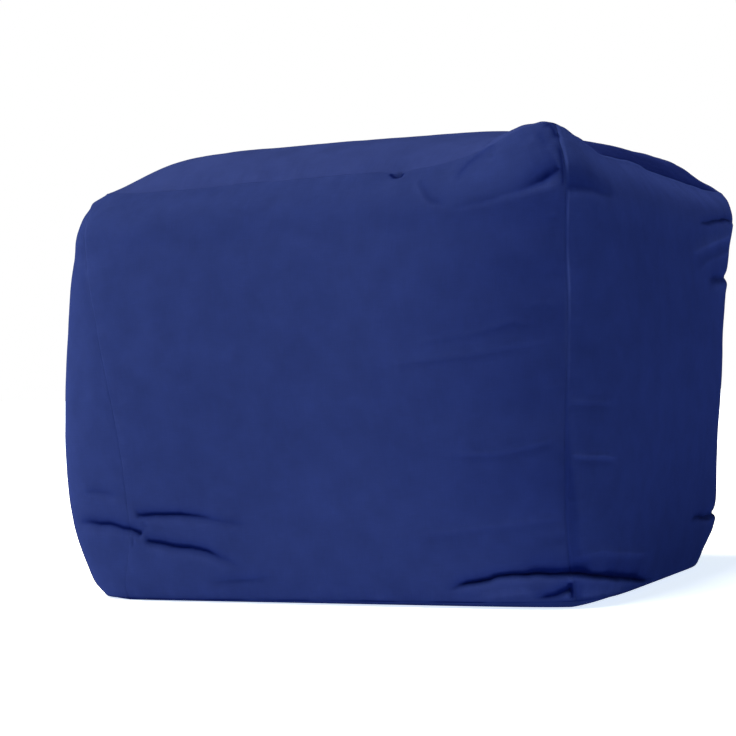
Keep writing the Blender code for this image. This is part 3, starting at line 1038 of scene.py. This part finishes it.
    def mark(self, mesh: bpy.types.Mesh, raised_worn_and_shaded: Array) -> None:
        """Write the flat cut's coordinates, and the relief, wear and painted light and shade that the
        cloth's finish reads.

        Args:
            mesh: The finished mesh.
            raised_worn_and_shaded: How far each point of the cloth is raised over the cloth round it, with
                its wear and painted light and shade.
        """
        count = len(mesh.vertices)
        flat = np.zeros((count, 2), np.float32)
        flat[:len(raised_worn_and_shaded), 0] = self.u * self.width
        flat[:len(raised_worn_and_shaded), 1] = self.v * self.height
        corners = np.zeros(len(mesh.loops), np.int32)
        mesh.loops.foreach_get("vertex_index", corners)
        layer = mesh.uv_layers.new(name="Cut")
        layer.uv.foreach_set("vector", flat[corners].ravel())
        relief_and_shading = np.zeros(count, np.float32)
        relief_and_shading[:len(raised_worn_and_shaded)] = np.clip(raised_worn_and_shaded / self.RELIEF_SCALE, -1.0, 1.0)
        mesh.attributes.new("ReliefAndShading", "FLOAT", "POINT").data.foreach_set("value", relief_and_shading)

    def dress(self, piece: bpy.types.Object) -> None:
        """Give the piece its cloth and its place in the frame."""
        piece.data.materials.append(self.cloth.material(self.node + "_weave"))
        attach(piece, MAIN_BODY)
        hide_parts(self.node)


@dataclass
class SidePanel(Panel):
    """One of the four upright panels."""

    side: int = 0
    fold_free_edge: float = 0.008

    def surface(self) -> tuple[Array, Array]:
        """Shape the panel's outer side, as Panel.surface says."""
        u, v = self.u, self.v
        turn = self.body.seam_turn(self.side, v) * (1 - u) + self.body.seam_turn(self.side + 1, v) * u
        point, away = self.body.point(turn, v)
        calm = smooth_step(np.minimum(v, 1 - v) * self.height / self.fold_free_edge)
        span = self.body.seam_span
        effects = [fold.effect(turn * span, point[:, 2], span) for fold in FOLDS]
        lift, drop, shade = np.sum(effects, axis=0)
        lift = lift * calm + self.puckers()
        point = point + away * lift[:, None]
        point[:, 2] -= drop * calm
        point = self.sag(self.body.pulled(point))
        return self.drawn_in(point), lift + self.wear_and_shading_relief() - shade


@dataclass
class TopPanel(Panel):
    """The crowned panel on top."""

    crown: float = 0.042
    crown_lean: float = 0.20
    fullness: float = 6.5
    right_fullness: float = 11.0
    back_fullness: float = 12.0
    fuller_over: float = 0.6
    hollow: float = 4.0 * MM
    hollow_place: float = 13.0 * MM
    hollow_spread: float = 9.0 * MM
    hollow_ends: Triple = (0.03, 0.20, 0.10)
    hollow_shade: float = 5.9 * MM
    hollow_shade_reach: float = 38.0 * MM

    def surface(self) -> tuple[Array, Array]:
        """Shape the panel's outer side, as Panel.surface says."""
        u, v = self.u, self.v
        point = self.body.seam_loop_patch(1.0, u, v)
        extra = (self.right_fullness - self.fullness) * smooth_step(v / self.fuller_over)
        across = self.fullness + np.where(u > 0.5, extra, 0.0)
        extra = (self.back_fullness - self.fullness) * smooth_step(2 * u - 1)
        along = self.fullness + np.where(v > 0.5, extra, 0.0)
        swell = (1 - np.abs(2 * u - 1)**across) * (1 - np.abs(2 * v - 1)**along)
        lift = self.puckers()
        point[:, 2] += self.crown * (1 + self.crown_lean * (0.5 - u)) * swell + lift
        from_right = self.distances[Edge.RIGHT]
        start, rise, fall = self.hollow_ends
        ends = smooth_step((v - start) / rise) * smooth_step((1.0 - v) / fall)
        away = (from_right - self.hollow_place) / self.hollow_spread
        point[:, 2] -= self.hollow * ends * np.exp(-away**2)
        # Painted shade on the top panel beside its right seam.
        shade = self.hollow_shade * ends * np.exp(-(from_right / self.hollow_shade_reach)**2)
        point = self.sag(self.body.pulled(point))
        return self.drawn_in(point), lift + self.wear_and_shading_relief() - shade


@dataclass
class BasePanel(Panel):
    """The panel underneath, flat where it lies on the floor."""

    roll: float = 0.022

    def surface(self) -> tuple[Array, Array]:
        """Shape the panel's outer side, as Panel.surface says."""
        point = self.drawn_in(self.body.pulled(self.body.seam_loop_patch(0.0, self.u, self.v)))
        distance = np.minimum.reduce(list(self.distances.values()))
        point[:, 2] *= 1 - smooth_step(distance / self.roll)
        point[:, 2] += self.half_gap
        return point, self.wear_and_shading_relief()


@dataclass
class Pouf:
    """The whole pouf: its six panels, sewn round one filled body."""

    body: FilledBody = field(default_factory=FilledBody)

    def panels(self) -> list[Panel]:
        """List the six panels.

        Returns:
            The panels, in the order in which they are built.
        """
        body = self.body
        span, tall = body.seam_span, body.seam_height
        seam, fine, plain = 0.4 * MM, 1.2 * MM, 2.1 * MM
        pucker = 0.5 * span + 0.080
        ends = ((0, seam), (0.006, fine), (0.030, plain))
        flank = both_ends(span, ends)
        wide = both_ends(span, ends, ((pucker - 0.025, plain), (pucker - 0.012, 0.9 * MM),
                                      (pucker + 0.012, 0.9 * MM), (pucker + 0.025, plain)))
        high = ((0, seam), (0.005, fine), (0.120, fine), (0.150, 2.4 * MM), (0.315, 2.4 * MM),
                (0.332, 1.4 * MM), (tall - 0.006, fine), (tall, seam))
        coarse = both_ends(span, ((0, seam), (0.008, 1.6 * MM), (0.040, 3.0 * MM)))
        under = ((0, 0.6 * MM), (0.02, 2.0 * MM), (0.050, 6.0 * MM),
                 (span - 0.080, 6.0 * MM), (span - 0.050, 2.0 * MM), (span, 0.6 * MM))
        navy = WovenCloth((0.0122, 0.0216, 0.102), (0.0215, 0.0350, 0.138), (0.0103, 0.0186, 0.089))
        # The top panel's cloth is paler, partly from sun fading and partly as painted light.
        faded_and_lit = WovenCloth((0.0152, 0.0252, 0.112), (0.0240, 0.0380, 0.145), (0.0135, 0.0228, 0.102))
        # The right panel's cloth is a darker copy of the navy: painted shade where less light falls.
        shaded_navy = WovenCloth((0.0096, 0.0182, 0.096), (0.0205, 0.0345, 0.138), (0.0081, 0.0157, 0.084))
        common = {"body": body, "cloth": navy, "width": span}
        upright = {**common, "height": tall, "rows": high}
        # Below 0, a panel's wear is painted shade: where the cloth meets the floor, and beside the top's
        # right seam.
        return [
            SidePanel("panel_front", axis=(0, -1, 0), columns=wide, seed=1, side=0,
                      grooves={Edge.TOP: 0.2, Edge.LEFT: 0.3, Edge.BOTTOM: 0.3, Edge.RIGHT: 0.45},
                      wear_and_shading={Edge.TOP: 0.1 * MM, Edge.RIGHT: 0.2 * MM, Edge.BOTTOM: -5.5 * MM}, **upright),
            # The pale line by this panel's near seam is wear and a painted highlight.
            SidePanel("panel_right", axis=(1, 0, 0), columns=flank, seed=2, side=1,
                      grooves={Edge.TOP: 0.25, Edge.BOTTOM: 0.3, Edge.LEFT: 0.45},
                      beads={Edge.LEFT: 0.2 * MM, Edge.TOP: 0.3 * MM},
                      wear_and_shading={Edge.LEFT: 1.6 * MM, Edge.TOP: 0.8 * MM, Edge.BOTTOM: -4.0 * MM},
                      faded_and_lit={Edge.TOP: 27.0 * MM}, **{**upright, "cloth": shaded_navy}),
            SidePanel("panel_back", axis=(0, 1, 0), columns=coarse, seed=3, side=2, **upright),
            SidePanel("panel_left", axis=(-1, 0, 0), columns=flank, seed=4, side=3,
                      grooves={Edge.RIGHT: 0.3, Edge.BOTTOM: 0.3},
                      wear_and_shading={Edge.BOTTOM: -6.0 * MM}, **upright),
            TopPanel("panel_top", axis=(0, 0, 1), columns=wide, rows=flank, height=span, seed=5,
                     grooves={Edge.BOTTOM: 0.2, Edge.RIGHT: 0.4},
                     wear_and_shading={Edge.BOTTOM: 0.1 * MM, Edge.RIGHT: -0.6 * MM}, **{**common, "cloth": faded_and_lit}),
            BasePanel("panel_bottom", body=body, cloth=navy, axis=(0, 0, -1), columns=under, rows=under,
                      width=body.base_span, height=body.base_span, seed=6, flipped=True,
                      wear_and_shading={edge: -2.5 * MM for edge in Edge}),
        ]

    def build(self) -> None:
        """Build and dress every panel."""
        for panel in self.panels():
            piece = panel.build()
            panel.dress(piece)
            log.info("%s: %d faces", piece.name, len(piece.data.polygons))


# The studio

class Shine(Enum):
    """The kinds of lamp in the studio."""

    SOFTBOX = "AREA"
    CEILING = "SUN"


@dataclass(frozen=True)
class Lamp:
    """A lamp that points at the pouf; the ceiling's size is the angle that it fills."""

    name: str
    kind: Shine
    place: Triple
    size: float
    power: float
    colour: Triple = (1.0, 1.0, 1.0)


@dataclass
class Studio:
    """A plain pale floor, soft lamps and the camera."""

    azimuth: float = math.radians(-24.6)
    distance: float = 1.91
    eye_height: float = 0.195
    side_step: float = -0.056
    pitch: float = math.radians(0.5)
    roll: float = math.radians(-1.26)
    focal_pixels: float = 1900.0
    picture_pixels: float = 736.0
    sensor: float = 36.0
    floor_colour: Rgba = (0.93, 0.935, 0.95, 1.0)
    floor_glow: float = 1.0
    floor_roughness: float = 0.9
    glow_colour: Rgba = (0.73, 0.81, 0.89, 1.0)
    target: Triple = (0.0, 0.0, 0.2)
    lamps: tuple[Lamp, ...] = (
        Lamp("key", Shine.SOFTBOX, (-1.6, -0.6, 2.2), 1.6, 115.0, (1.0, 0.80, 0.38)),
        Lamp("ceiling", Shine.CEILING, (-0.8, -0.9, 2.6), 0.7, 4.3),
    )
    white: Rgba = (1.0, 1.0, 1.0, 1.0)
    surround: float = 0.06
    backdrop: float = 1.0

    def camera(self) -> None:
        """Set the camera where the photograph was taken from."""
        side, front = math.sin(self.azimuth), math.cos(self.azimuth)
        forward = Vector((side * math.cos(self.pitch), front * math.cos(self.pitch), math.sin(self.pitch)))
        level = Vector((front, -side, 0.0))
        above = level.cross(forward)
        right = level * math.cos(self.roll) + above * math.sin(self.roll)
        up = above * math.cos(self.roll) - level * math.sin(self.roll)
        place = (Vector((-side, -front, 0.0)) * self.distance + level * self.side_step
                 + Vector((0.0, 0.0, self.eye_height)))
        data = bpy.data.cameras.new("camera")
        data.sensor_width = self.sensor
        data.lens = self.focal_pixels / self.picture_pixels * self.sensor
        camera = bpy.data.objects.new("camera", data)
        turn = Matrix((right, up, -forward)).transposed().to_4x4()
        camera.matrix_world = Matrix.Translation(place) @ turn
        bpy.context.scene.collection.objects.link(camera)
        bpy.context.scene.camera = camera

    def floor(self) -> None:
        """Lay the floor."""
        data = bmesh.new()
        bmesh.ops.create_grid(data, x_segments=1, y_segments=1, size=30.0)
        mesh = bpy.data.meshes.new("floor")
        data.to_mesh(mesh)
        data.free()
        paint = Graph(bpy.data.materials.new("studio_floor")).finished("Principled BSDF", {
            "Base Color": self.floor_colour, "Roughness": self.floor_roughness,
            "Emission Color": self.glow_colour, "Emission Strength": self.floor_glow})
        mesh.materials.append(paint)
        floor = bpy.data.objects.new("floor", mesh)
        bpy.context.scene.collection.objects.link(floor)

    def light(self) -> None:
        """Hang the lamps and set the surroundings."""
        for lamp in self.lamps:
            data = bpy.data.lights.new(lamp.name, lamp.kind.value)
            if lamp.kind is Shine.CEILING:
                data.angle = lamp.size
            else:
                data.size = lamp.size
            data.energy = lamp.power
            data.color = lamp.colour
            piece = bpy.data.objects.new(lamp.name, data)
            place = Vector(lamp.place)
            aim = (Vector(self.target) - place).to_track_quat("-Z", "Y").to_matrix().to_4x4()
            piece.matrix_world = Matrix.Translation(place) @ aim
            bpy.context.scene.collection.objects.link(piece)
        graph = Graph(bpy.data.worlds.new("studio"))
        sky, seen = (graph.add("ShaderNodeBackground", {}, {"Color": self.white, "Strength": strength})
                     for strength in (self.surround, self.backdrop))
        camera_ray = graph.add("ShaderNodeLightPath", {}, {}, "Is Camera Ray")
        mixed = graph.add("ShaderNodeMixShader", {}, {0: camera_ray, 1: sky, 2: seen})
        bpy.context.scene.world = graph.finished("World Output", {"Surface": mixed})
        bpy.context.scene.view_settings.view_transform = "Standard"

    def build(self) -> None:
        """Set up the whole studio."""
        self.floor()
        self.light()
        self.camera()
        log.info("studio: %d lamps", len(self.lamps))


def main() -> None:
    """Build the pouf in its studio."""
    logging.basicConfig(level=logging.INFO, format="%(name)s: %(message)s")
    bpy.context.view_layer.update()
    Pouf().build()
    Studio().build()


if __name__ == "__main__":
    main()
